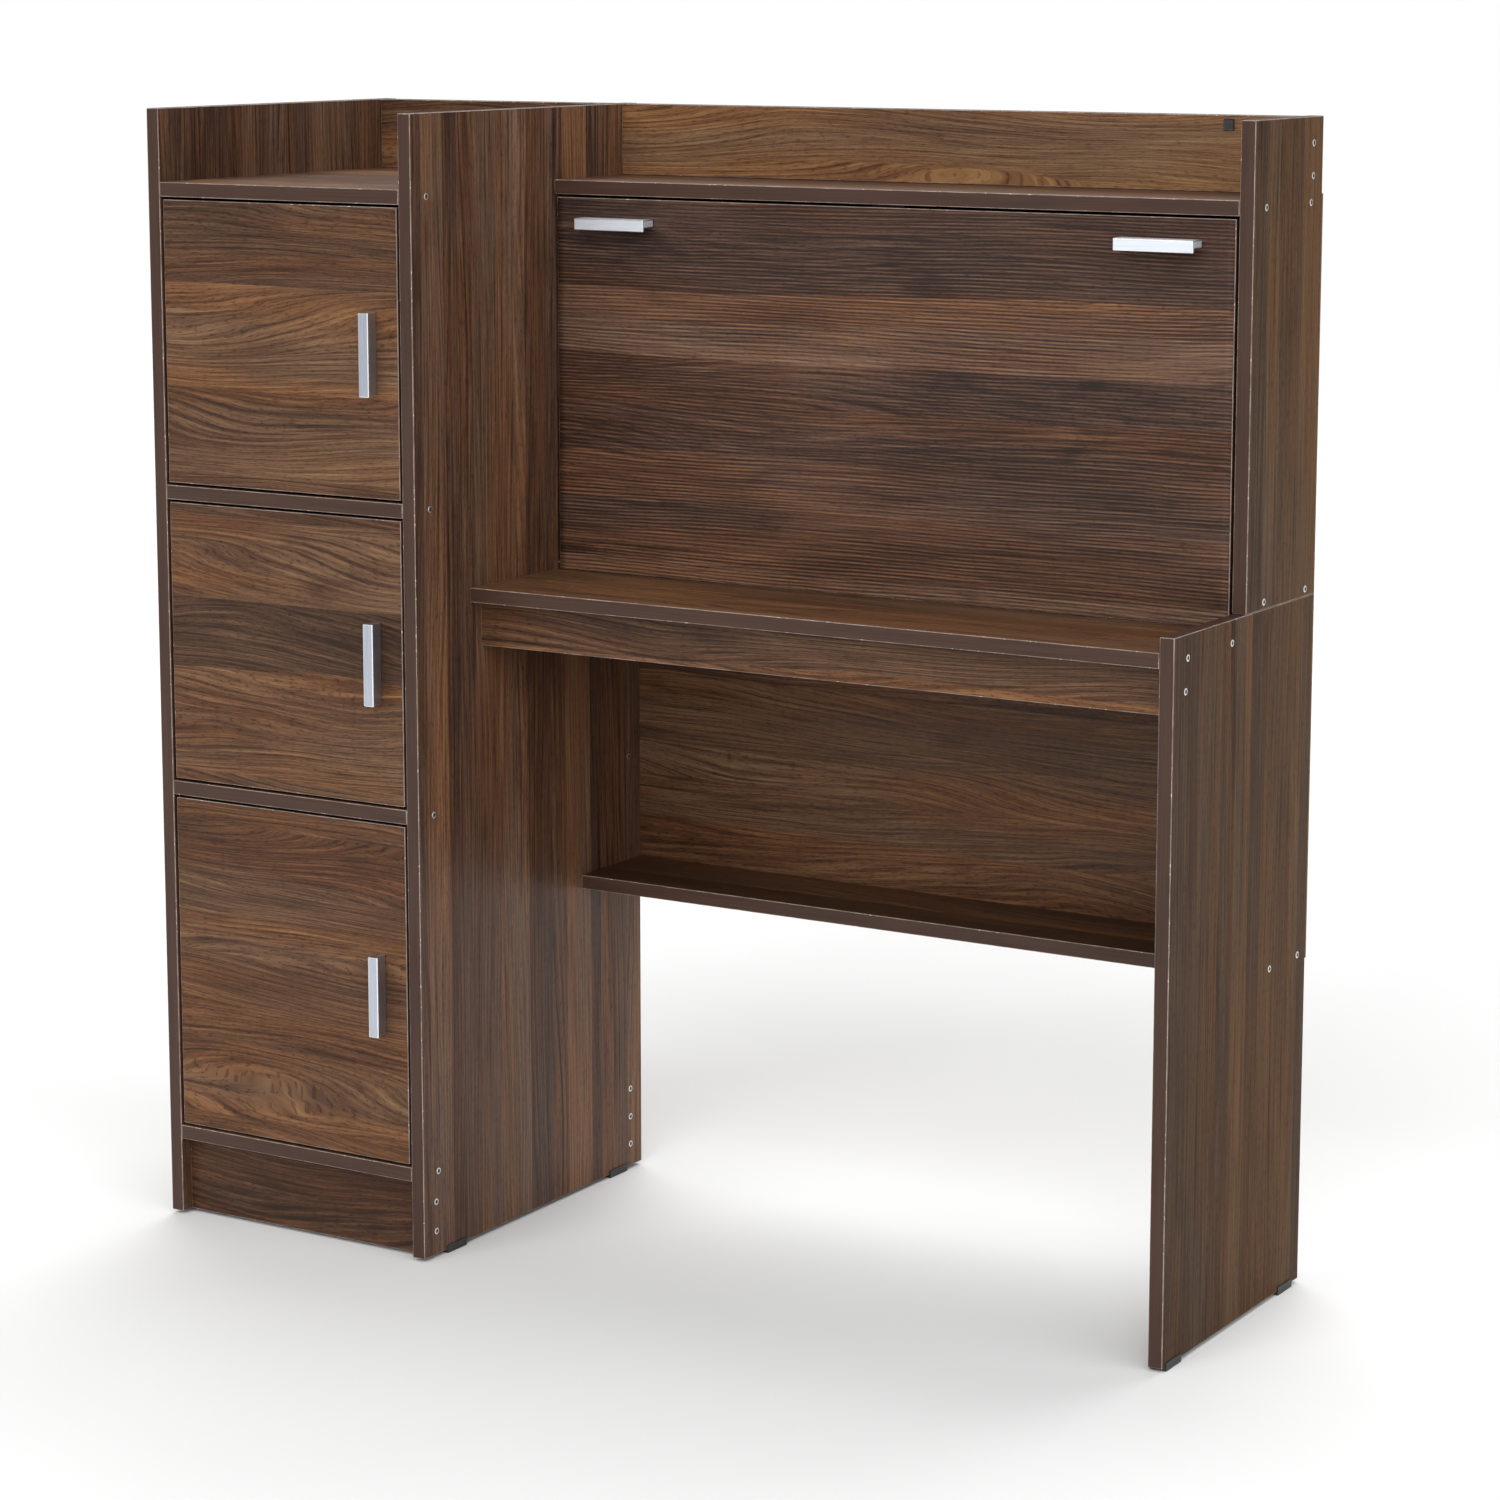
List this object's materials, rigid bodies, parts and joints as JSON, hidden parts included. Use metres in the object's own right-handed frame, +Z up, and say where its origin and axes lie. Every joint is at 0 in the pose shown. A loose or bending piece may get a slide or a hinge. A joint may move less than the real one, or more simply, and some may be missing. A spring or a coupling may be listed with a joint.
{
  "type": "secretary desk",
  "caption": "Walnut-faced secretary desk: tall tower with inset doors, and a desk with a hutch whose drop front folds down onto the desktop.",
  "frame": {"origin": "on the floor under the middle of the whole piece's bounding box", "axes": "+X to the right as seen from the front, +Y to the back, +Z up; the front looks towards -Y"},
  "size_m": [1.203, 0.4644, 1.254],
  "materials": {
    "walnut_board": "walnut-printed melamine on particle board, satin",
    "walnut_door": "walnut-printed melamine with the grain across, satin",
    "brushed_walnut": "deeply brushed walnut texture with the grain across, dull",
    "printed_back_board": "thin hardboard with a walnut print on the front",
    "satin_aluminium": "satin anodised",
    "plated_steel": "nickel plated",
    "black_plastic": "moulded",
    "brown_plastic": "moulded"
  },
  "bodies": {
    "carcass": {"left_side_panel": "walnut_board", "middle_side_panel": "walnut_board", "right_lower_panel": "walnut_board", "right_upper_panel": "walnut_board", "tower_top_shelf": "walnut_board", "tower_upper_shelf": "walnut_board", "tower_lower_shelf": "walnut_board", "tower_bottom_shelf": "walnut_board", "tower_gallery": "walnut_board", "front_plinth": "walnut_board", "rear_plinth": "walnut_board", "tower_back_panel": "printed_back_board", "desktop": "walnut_board", "desk_front_rail": "walnut_board", "foot_shelf": "walnut_board", "modesty_panel": "printed_back_board", "hutch_top_shelf": "walnut_board", "hutch_floor": "walnut_board", "hutch_gallery": "walnut_board", "hutch_back_panel": "printed_back_board", "square_cover_cap": "black_plastic", "left_front_glide": "black_plastic", "left_rear_glide": "black_plastic", "middle_front_glide": "black_plastic", "middle_rear_glide": "black_plastic", "right_front_glide": "black_plastic", "right_rear_glide": "black_plastic", "lower_door_lower_hinge_arm": "plated_steel", "lower_door_upper_hinge_arm": "plated_steel", "lower_door_catch": "brown_plastic", "middle_door_lower_hinge_arm": "plated_steel", "middle_door_upper_hinge_arm": "plated_steel", "middle_door_catch": "brown_plastic", "upper_door_lower_hinge_arm": "plated_steel", "upper_door_upper_hinge_arm": "plated_steel", "upper_door_catch": "brown_plastic", "flap_catch": "brown_plastic"},
    "lower_door": {"lower_door": "walnut_door", "lower_door_handle": "satin_aluminium", "lower_door_lower_hinge_cup": "plated_steel", "lower_door_upper_hinge_cup": "plated_steel", "lower_door_strike": "plated_steel"},
    "middle_door": {"middle_door": "walnut_door", "middle_door_handle": "satin_aluminium", "middle_door_lower_hinge_cup": "plated_steel", "middle_door_upper_hinge_cup": "plated_steel", "middle_door_strike": "plated_steel"},
    "upper_door": {"upper_door": "walnut_door", "upper_door_handle": "satin_aluminium", "upper_door_lower_hinge_cup": "plated_steel", "upper_door_upper_hinge_cup": "plated_steel", "upper_door_strike": "plated_steel"},
    "flap": {"flap": "brushed_walnut", "flap_left_pin": "plated_steel", "flap_right_pin": "plated_steel", "flap_left_handle": "satin_aluminium", "flap_right_handle": "satin_aluminium", "flap_strike": "plated_steel"}
  },
  "joints": [
    {"name": "lower_door_hinge", "type": "hinge", "parent": "carcass", "child": "lower_door", "pos_m": [-0.5805, -0.21015, 0.298], "axis": [0, 0, -1], "range_deg": [0, 105]},
    {"name": "middle_door_hinge", "type": "hinge", "parent": "carcass", "child": "middle_door", "pos_m": [-0.5805, -0.21015, 0.665], "axis": [0, 0, -1], "range_deg": [0, 105]},
    {"name": "upper_door_hinge", "type": "hinge", "parent": "carcass", "child": "upper_door", "pos_m": [-0.5805, -0.21015, 0.999], "axis": [0, 0, -1], "range_deg": [0, 105]},
    {"name": "flap_hinge", "type": "hinge", "parent": "carcass", "child": "flap", "pos_m": [0.1695, 0.06485, 0.7445], "axis": [1, 0, 0], "range_deg": [0, 90]}
  ]
}
